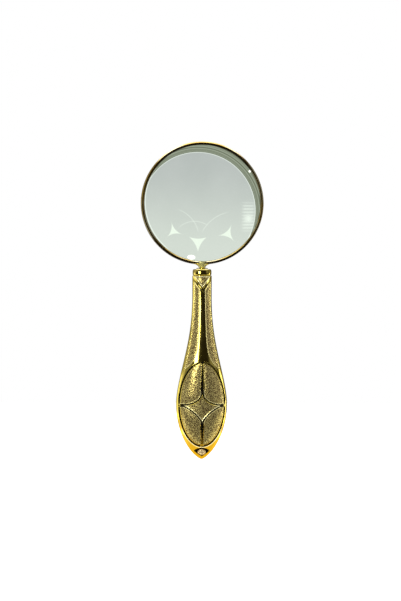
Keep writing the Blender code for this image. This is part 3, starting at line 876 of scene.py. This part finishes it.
def polished_gold():
    """Mirror plating with fine upright scratches and a faint wave."""
    nodes = Nodes("polished_gold")
    scratches = nodes.noise(700.0, 2.0, 0.6, (1.0, 1.0, 6.0))
    bump = nodes.bump(scratches, 0.12, 0.00002)
    return nodes.set(
        Base_Color=gold_tone(nodes), Metallic=1.0, Roughness=plating_roughness(nodes, scratches, 0.07),
        Normal=nodes.bump(nodes.noise(160.0, 1.0), 0.35, 0.00008, bump),
    )


def hoop_gold():
    """Thin plating of the rim in a darker copy of the gold, which paints shade, with pale patches that are
    painted highlights.
    """
    nodes = Nodes("hoop_gold")
    streak = nodes.noise(420.0, 3.0, 0.6, (1.0, 4.0, 1.0))
    # Darker base than the other gold: painted shade.
    tone = nodes.mix(nodes.clouds(60.0), (0.62, 0.42, 0.12, 1), (0.80, 0.62, 0.20, 1))
    # Near-white patches: painted highlights.
    painted_highlight_patches = nodes.spread(nodes.noise(38.0, 2.0), 0.50, 0.60, 0.0, 1.0)
    tone = nodes.mix(painted_highlight_patches, tone, (1.0, 0.93, 0.62, 1))
    return nodes.set(
        Base_Color=tone, Metallic=1.0, Roughness=nodes.spread(streak, 0.3, 0.7, 0.06, 0.16),
        Normal=nodes.bump(nodes.noise(130.0, 2.0), 0.6, 0.00015),
    )


def satin_gold():
    """Softly blasted pale plating of the flared neck."""
    nodes = Nodes("satin_gold")
    sand = nodes.noise(1600.0, 3.0, 0.7)
    tone = nodes.mix(nodes.clouds(200.0), (0.80, 0.76, 0.36, 1), (0.95, 0.93, 0.56, 1))
    return nodes.set(
        Base_Color=tone, Metallic=1.0, Roughness=nodes.spread(sand, 0.3, 0.7, 0.42, 0.58),
        Normal=nodes.bump(sand, 0.3, 0.0001),
    )


def relief_gold():
    """Plating with sand-cast stipple in the panels, dark patina in the grooves and bright pale edges, partly
    wear and partly painted highlight.
    """
    nodes = Nodes("relief_gold")
    masks = nodes.add("ShaderNodeAttribute", attribute_name="relief")
    split = nodes.add("ShaderNodeSeparateColor")
    nodes.link(masks.outputs["Color"], split.inputs[0])
    stipple, groove, wear_and_highlight = split.outputs
    sand = nodes.noise(1500.0, 3.0, 0.7)
    pits = nodes.cells(1500.0)
    speckle = nodes.spread(nodes.noise(1850.0, 1.0, 0.6), 0.44, 0.56, 0.0, 1.0)
    dusk = nodes.mix(speckle, (0.20, 0.13, 0.06, 1), (0.93, 0.79, 0.34, 1))
    # Near-white gold on the masked edges: partly wear, partly painted highlight.
    plain = nodes.mix(wear_and_highlight, gold_tone(nodes), (1.0, 0.95, 0.62, 1))
    tone = nodes.mix(groove, nodes.mix(stipple, plain, dusk), (0.006, 0.004, 0.002, 1))
    scratches = nodes.noise(700.0, 2.0, 0.6, (1.0, 1.0, 6.0))
    rough = nodes.add("ShaderNodeMix", data_type="FLOAT")
    nodes.link(nodes.math("MAXIMUM", stipple, groove), rough.inputs["Factor"])
    nodes.link(plating_roughness(nodes, scratches, 0.06), rough.inputs[2])
    nodes.link(nodes.spread(pits, 0.0, 0.6, 0.20, 0.28), rough.inputs[3])
    grain = nodes.product(nodes.math("ADD", sand, nodes.product(pits, 0.6)), stipple)
    # Less metal on those edges, so they read pale from any side: part of the painted highlight.
    diffuse_edge_highlight = nodes.product(wear_and_highlight, nodes.spread(stipple, 0.0, 1.0, 0.5, 0.0))
    dull_grooves = nodes.spread(groove, 0.0, 1.0, 1.0, 0.55)
    metal = nodes.joined("SUBTRACT", dull_grooves, diffuse_edge_highlight, nodes.product(stipple, 0.12))
    return nodes.set(
        Base_Color=tone, Metallic=metal, Roughness=rough.outputs[0], Normal=nodes.bump(grain, 0.5, 0.00012),
    )


def boss_gold():
    """Grained pinkish-brown gold of the small boss at the tip."""
    nodes = Nodes("boss_gold")
    sand = nodes.noise(1300.0, 4.0, 0.7)
    tone = nodes.mix(nodes.spread(sand, 0.4, 0.6, 0.0, 1.0), (0.40, 0.26, 0.13, 1), (1.0, 0.84, 0.55, 1))
    return nodes.set(
        Base_Color=tone, Metallic=0.7, Roughness=nodes.spread(sand, 0.3, 0.7, 0.2, 0.4),
        Normal=nodes.bump(sand, 0.8, 0.0003),
    )


def lens_material():
    """Faintly green glass with a little dust."""
    nodes = Nodes("lens_crown_glass")
    dust = nodes.spread(nodes.noise(260.0, 5.0, 0.65), 0.62, 0.82, 0.0, 0.05)
    tint = nodes.mix(nodes.noise(12.0, 1.0), (0.835, 0.88, 0.84, 1), (0.85, 0.89, 0.85, 1))
    ripple = nodes.bump(nodes.noise(30.0, 1.0), 0.01, 0.00002)
    return nodes.set(Base_Color=tint, Roughness=dust, Transmission_Weight=1.0, IOR=1.52, Normal=ripple)


def liner_material():
    """Mottled pale plastic."""
    nodes = Nodes("pale_strip")
    tone = nodes.mix(nodes.noise(300.0, 3.0), (0.80, 0.80, 0.70, 1), (0.93, 0.93, 0.86, 1))
    bump = nodes.bump(nodes.noise(900.0, 2.0), 0.3, 0.00005)
    return nodes.set(Base_Color=tone, Roughness=0.45, Normal=bump)


def tooled_metal(name, lines, patches, colours, roughness, bump):
    """Bare metal with fine tool lines, given by their scale and stretch, and larger patches of colour."""
    nodes = Nodes(name)
    scale, stretch = lines
    tooling = nodes.noise(scale, 2.0, 0.5, stretch)
    return nodes.set(
        Base_Color=nodes.mix(nodes.noise(patches, 3.0), *colours), Metallic=1.0,
        Roughness=nodes.spread(tooling, 0.3, 0.7, *roughness), Normal=nodes.bump(tooling, *bump),
    )


def brass_material():
    return tooled_metal(
        "turned_brass_raw", (500.0, (0.15, 0.15, 8.0)), 180.0,
        ((0.56, 0.40, 0.14, 1), (0.76, 0.58, 0.25, 1)), (0.2, 0.38), (0.3, 0.00005),
    )


def steel_material():
    return tooled_metal(
        "pin_steel", (800.0, (8.0, 0.2, 8.0)), 200.0,
        ((0.42, 0.42, 0.43, 1), (0.62, 0.62, 0.63, 1)), (0.25, 0.45), (0.25, 0.00004),
    )


def resin_material():
    """Dark grainy filler."""
    nodes = Nodes("core_filler")
    grain = nodes.noise(240.0, 5.0, 0.6)
    tone = nodes.mix(grain, (0.05, 0.038, 0.028, 1), (0.12, 0.095, 0.07, 1))
    rough = nodes.spread(grain, 0.3, 0.7, 0.65, 0.9)
    return nodes.set(Base_Color=tone, Roughness=rough, Normal=nodes.bump(grain, 0.5, 0.0003))


def floor_material():
    """Pale floor that glows evenly, so that it shows as white."""
    nodes = Nodes("pale_floor")
    tone = nodes.mix(nodes.noise(3.0, 3.0), (0.93, 0.93, 0.93, 1), (0.95, 0.95, 0.95, 1))
    return nodes.set(
        Base_Color=tone, Roughness=0.9, Specular_IOR_Level=0.0,
        Emission_Color=(1, 1, 1, 1), Emission_Strength=1.0,
    )


def dress_hidden_nodes(brass):
    """Materials for the CAD nodes that stay as they are."""
    finishes = {"socket_bush": brass, "bush_pin": steel_material(), "handle_core": resin_material()}
    for name in ("dowel_upper", "dowel_left", "dowel_right"):
        finishes[name] = finishes["bush_pin"]
    for name, finish in finishes.items():
        for place in frame["nodes"][name].material_slots:
            place.material = finish


# ---- studio


def camera():
    """Level and a few degrees left of the front, framing the object with the photograph's margins."""
    data = bpy.data.cameras.new("view_camera")
    made = in_scene("view_camera", data)
    data.lens = data.sensor_width * CAMERA_DISTANCE / (FRAME_TO_OBJECT * (cad_high.z - cad_low.z))
    data.clip_end = 50
    turn = math.radians(CAMERA_TURN)
    along = Vector((math.sin(turn), -math.cos(turn), 0))
    across = Vector((math.cos(turn), math.sin(turn), 0))
    made.location = along * CAMERA_DISTANCE + across * CAMERA_SIDE + Vector((0, 0, CAMERA_HEIGHT))
    made.rotation_euler = (math.pi / 2, math.radians(CAMERA_ROLL), turn)
    bpy.context.scene.camera = made


def panel_light(name, place, target, size, brightness, colour):
    """A rectangular soft light of an even brightness, facing its target and unseen by the camera."""
    data = bpy.data.lights.new(name, "AREA")
    data.shape = "RECTANGLE"
    data.size, data.size_y = size
    data.energy = brightness * math.pi * size[0] * size[1]
    data.color = colour
    made = in_scene(name, data)
    made.location = place
    made.rotation_euler = (Vector(target) - Vector(place)).to_track_quat("-Z", "Y").to_euler()
    made.visible_camera = False
    made.visible_transmission = False
    return made


def keep_off(lamps, pieces):
    """Stops lamps from lighting some pieces, in which they would show as rectangles."""
    spared = bpy.data.collections.new("out_of_the_panels")
    for piece in pieces:
        spared.objects.link(piece)
    for place in spared.collection_objects:
        place.light_linking.link_state = "EXCLUDE"
    for lamp in lamps:
        lamp.light_linking.receiver_collection = spared


def floor(material):
    """A wide pale disc under the held magnifier, left out of its reflections."""
    bm = bmesh.new()
    place = Matrix.Translation((0, 0, TIP - FLOOR_DROP))
    bmesh.ops.create_circle(bm, cap_ends=True, segments=128, radius=FLOOR_RADIUS, matrix=place)
    made = in_scene("studio_floor", as_mesh("studio_floor", bm))
    made.data.materials.append(material)
    made.visible_glossy = False
    made.visible_transmission = False


# What shows through the lens, in millimetres from its middle, with painted reflections and a painted shadow of
# the hoop drawn into it.
CARD_CENTRE = (-3.6, -5.05)
CARD_RADIUS = 37.2
WINDOW_REFLECTION_PITCH = 2.0
# Centre, radius, and the offsets between which the arc fades in, across and upward; each arc is a painted
# reflection.
ARCS = (
    ((-21.0, -22.0), 18.5, (4.0, 8.0), (3.0, 6.0)),
    ((21.0, -29.0), 24.0, (-4.0, -8.0), (10.0, 13.0)),
    ((-5.0, -26.0), 14.5, (9.0, 6.0), (9.0, 12.0)),
)
# Place, size, turn in degrees and fullness; each glint is a painted reflection of a lamp.
GLINTS = (
    ((-3.2, -24.8), 6.5, -90, 2.9),
    ((-18.9, -18.2), 7.4, 102, 1.75),
    ((15.9, -19.3), 6.6, 70, 2.0),
)

# What metal sees: azimuths and elevations in degrees, softness, strength and colour.
ROOM_COLOUR = (0.016, 0.013, 0.010)
ROOM_PANELS = (
    ((-112, -66), (-35, 60), 5, 0.36, (1.0, 0.90, 0.60)),
    ((72, 112), (-35, 60), 5, 0.22, (1.0, 0.90, 0.60)),
    ((-179, -124), (-30, 60), 8, 0.30, (1.0, 0.97, 0.85)),
    ((125, 179), (-30, 60), 12, 0.10, (1.0, 0.97, 0.85)),
    ((31, 62), (-6, 35), 6, 0.20, (1.0, 0.96, 0.80)),
    ((-75, -32), (2, 45), 5, 0.20, (1.0, 0.97, 0.74)),
)

# Soft lamps: place, where it faces, size, brightness and colour.
SPINE_AIM = (0, 0, 0.01)
TIP_AIM = (0, 0, -0.02)
LAMPS = {
    "left_panel": ((-0.0765, -0.2412, 0.0778), SPINE_AIM, (0.061, 0.083), 9.0, (1.0, 0.985, 0.70)),
    "left_side": ((-0.30, 0.03, 0.0), SPINE_AIM, (0.20, 0.16), 0.8, (1.0, 0.98, 0.72)),
    "right_side": ((0.30, -0.04, -0.01), SPINE_AIM, (0.08, 0.16), 2.4, (1.0, 0.96, 0.78)),
    "under": ((0, 0.001, TIP - 0.066), TIP_AIM, (0.44, 0.32), 0.84, (1.0, 0.93, 0.56)),
    "left_low": ((-0.28, 0, -0.10), TIP_AIM, (0.55, 0.10), 0.62, (1.0, 0.92, 0.56)),
    "right_low": ((0.28, 0, -0.10), TIP_AIM, (0.55, 0.10), 0.62, (1.0, 0.92, 0.56)),
}


class Surroundings(Tree):
    """The room that metal and glass see, as a function of direction alone."""

    def __init__(self, owner):
        super().__init__(owner, "Generated")
        split = self.add("ShaderNodeSeparateXYZ")
        self.link(self.place, split.inputs[0])
        self.x, self.y, self.z = split.outputs
        turn = self.math("ARCTAN2", self.x, self.math("MULTIPLY", self.y, -1.0))
        self.azimuth = self.math("MULTIPLY", turn, 180 / math.pi)
        self.elevation = self.math("MULTIPLY", self.math("ARCSINE", self.z), 180 / math.pi)
        self.total = (*ROOM_COLOUR, 1)

    def light(self, amount, colour):
        """Adds a colour, scaled by an amount, to what the room shows."""
        node = self.add("ShaderNodeMix", data_type="RGBA", blend_type="ADD")
        self.put(node.inputs["Factor"], 1.0)
        self.put(node.inputs[6], self.total)
        self.put(node.inputs[7], self.mix(amount, (0, 0, 0, 1), (*colour, 1)))
        self.total = node.outputs[2]

    def panel(self, azimuths, elevations, soft, strength, colour):
        """A soft-edged panel between two azimuths and two elevations, in degrees; 0 is in front, 90 right."""
        amount = self.product(*[
            self.band(value, (low - soft, low + soft), (high + soft, high - soft))
            for value, (low, high) in ((self.azimuth, azimuths), (self.elevation, elevations))
        ])
        self.light(amount, tuple(strength * part for part in colour))


def glass_spot(room, bending):
    """Where on the lens a direction lands in the main view, in millimetres from its middle."""
    tilt = (LENS_CENTRE.z - CAMERA_HEIGHT) / CAMERA_DISTANCE
    depth = room.math("ABSOLUTE", room.y)
    across = room.math("ADD", room.math("DIVIDE", room.x, depth), math.tan(math.radians(CAMERA_TURN)))
    upward = room.math("SUBTRACT", room.math("DIVIDE", room.z, depth), tilt)
    return room.math("MULTIPLY", across, -1 / bending), room.math("MULTIPLY", upward, -1 / bending)


def length(room, off_x, off_z):
    return room.math("SQRT", room.math("ADD", room.product(off_x, off_x), room.product(off_z, off_z)))


def offset(room, spot, place):
    return room.math("SUBTRACT", spot[0], place[0]), room.math("SUBTRACT", spot[1], place[1])


def away_from(room, spot, place):
    """Distance of a spot from a place on the lens."""
    return length(room, *offset(room, spot, place))


def lamp_star(room, spot, place, size, turn, fullness):
    """A small three-pointed glint whose hollow sides are arcs of three circles."""
    reach = fullness * size
    radius = math.sqrt(size**2 + reach**2 - size * reach)
    kept = room.smooth_spread(away_from(room, spot, place), size, 0.9 * size)
    for side in (60, 180, 300):
        angle = math.radians(turn + side)
        centre = (place[0] + reach * math.cos(angle), place[1] + reach * math.sin(angle))
        outside = room.smooth_spread(away_from(room, spot, centre), radius - 0.3, radius + 0.3)
        kept = room.product(kept, outside)
    return kept


def thin_arc(room, spot, centre, radius, start_x, start_z):
    """A thin line along a circle, fading in between two offsets across and two offsets up: a painted
    reflection.
    """
    off_x, off_z = offset(room, spot, centre)
    line = room.band(length(room, off_x, off_z), (radius - 0.5, radius), (radius + 0.5, radius))
    return room.product(line, room.smooth_spread(off_x, *start_x), room.smooth_spread(off_z, *start_z))


def window_reflection(room, spot):
    """A barred window's painted reflection at the right of the lens."""
    bars = room.math("SINE", room.math("MULTIPLY", spot[1], 2 * math.pi / WINDOW_REFLECTION_PITCH))
    return room.product(
        room.band(spot[0], (23.5, 27.0), (34.0, 31.0)),
        room.band(spot[1], (-20.0, -14.0), (3.0, -3.0)),
        room.spread(room.smooth_spread(bars, -0.2, 0.7), 0.0, 1.0, 0.25, 1.0),
    )


def card_and_hoop_shadow(room, spot, card, span):
    """The cloudy pale card, lighter low down, inside a band of grey streaks that ends in pale again; the grey
    band is a painted shadow of the hoop.
    """
    pale = room.mix(room.smooth_spread(spot[1], 30.0, -30.0), (0.61, 0.635, 0.635, 1), (0.83, 0.87, 0.82, 1))
    cloud = room.noise(14.0, 2.0, 0.5)
    pale = room.mix(room.spread(cloud, 0.35, 0.7, 0.0, 0.10), pale, (1.0, 1.0, 1.0, 1))
    streaks = room.fill(room.add("ShaderNodeTexNoise", noise_dimensions="1D"), Scale=1.3, Detail=3.0, W=span)
    streak = room.spread(streaks.outputs["Fac"], 0.40, 0.60, 0.0, 1.0)
    # The grey band: a painted shadow of the hoop.
    grey = room.mix(streak, (0.21, 0.23, 0.165, 1), (0.42, 0.46, 0.36, 1))
    beyond = room.smooth_spread(span, 43.5, 47.0)
    return room.mix(room.math("MAXIMUM", card, beyond), grey, pale)


def light_lines(room, spot, card, span):
    """Painted reflections: the card's bright edge, a line by the hoop, three faint arcs and the window with
    its bright patch.
    """
    edge = room.product(room.smooth_spread(span, 36.6, 36.9), card)
    hoop = room.band(length(room, *spot), (37.5, 37.8), (38.3, 38.1))
    hoop = room.product(hoop, room.smooth_spread(spot[0], -20.0, -27.0))
    arcs = room.joined("ADD", *[thin_arc(room, spot, *drawn) for drawn in ARCS])
    patch = room.smooth_spread(away_from(room, spot, (29.0, -9.5)), 5.0, 0.0)
    parts = ((arcs, 0.12), (window_reflection(room, spot), 0.20), (patch, 0.30), (edge, 0.28), (hoop, 0.28))
    return room.joined("MAXIMUM", *[room.product(*part) for part in parts])


def sparks(room, spot):
    """A flat bright spot low down and a small round one at the upper right."""
    off_x, off_z = offset(room, spot, (-7.6, -35.2))
    flat = room.smooth_spread(length(room, room.product(off_x, 0.6), off_z), 1.8, 1.0)
    return room.math("MAXIMUM", flat, room.smooth_spread(away_from(room, spot, (29.9, 20.3)), 1.0, 0.4))


def through_glass(room):
    """What shows through the lens: a pale card in a grey surround, which is a painted shadow of the hoop, with
    painted reflections: light lines, glints and sparks.
    """
    spot = glass_spot(room, 1 / LENS_FOCUS - 1 / (CAMERA_DISTANCE / MM))
    span = away_from(room, spot, CARD_CENTRE)
    card = room.smooth_spread(span, CARD_RADIUS + 0.2, CARD_RADIUS - 0.2)
    seen = card_and_hoop_shadow(room, spot, card, span)
    seen = room.mix(light_lines(room, spot, card, span), seen, (1.9, 2.0, 1.85, 1))
    for glint in GLINTS:
        seen = room.mix(lamp_star(room, spot, *glint), seen, (1.12, 1.20, 1.08, 1))
    return room.mix(sparks(room, spot), seen, (2.6, 2.6, 2.4, 1))


def inside_glass(room):
    """What the far face of the lens sends back: a dim, slightly brighter patch low down."""
    spot = glass_spot(room, 1 / MIRROR_FOCUS - 1 / (CAMERA_DISTANCE / MM))
    low = room.smooth_spread(spot[1], 0.0, -36.0)
    return room.mix(low, (0.09, 0.10, 0.09, 1), (0.45, 0.48, 0.42, 1))


def background(room, colour, strength):
    return room.fill(room.add("ShaderNodeBackground"), Color=colour, Strength=strength).outputs[0]


def choose(room, test, otherwise, chosen):
    """One of two shaders, by a test that is 0 or 1."""
    node = room.add("ShaderNodeMixShader")
    for socket, value in zip(node.inputs, (test, otherwise, chosen)):
        room.link(value, socket)
    return node.outputs[0]


def world():
    """White for the camera, a dark room with soft panels for metal, and behind the glass a card ringed with a
    painted shadow of the hoop, with painted reflections.
    """
    made = bpy.data.worlds.new("studio")
    bpy.context.scene.world = made
    made.cycles.sampling_method = "NONE"
    room = Surroundings(made)
    for panel in ROOM_PANELS:
        room.panel(*panel)
    room.light(room.smooth_spread(room.elevation, 42, 52), (2.2, 2.15, 2.0))
    ray = room.add("ShaderNodeLightPath").outputs
    reflected = room.math("GREATER_THAN", ray["Glossy Depth"], 0.5)
    glass_sees = room.mix(reflected, through_glass(room), inside_glass(room))
    shown = background(room, (1.0, 0.98, 0.94, 1), 0.8)
    shown = choose(room, ray["Is Glossy Ray"], shown, background(room, room.total, 1.0))
    shown = choose(room, ray["Is Transmission Ray"], shown, background(room, glass_sees, 1.0))
    shown = choose(room, ray["Is Camera Ray"], shown, background(room, (1, 1, 1, 1), 1.0))
    room.tree.nodes.remove(room.tree.nodes["Background"])
    room.link(shown, room.tree.nodes["World Output"].inputs["Surface"])


def main():
    bpy.context.scene.view_settings.view_transform = "Standard"
    camera()
    world()
    lamps = [panel_light(name, *lamp) for name, lamp in LAMPS.items()]
    floor(floor_material())
    gold = polished_gold()
    cast = relief_gold()
    brass = brass_material()
    shell("front_casting", -1, cast, "handle_front_shell")
    shell("back_casting", 1, cast, "handle_back_shell")
    keep_off(lamps, [rim(hoop_gold()), glass(lens_material())])
    bedding(liner_material())
    funnel(satin_gold())
    collar(gold)
    washer(gold)
    boss(boss_gold())
    burr(gold)
    stud(brass)
    dress_hidden_nodes(brass)


main()
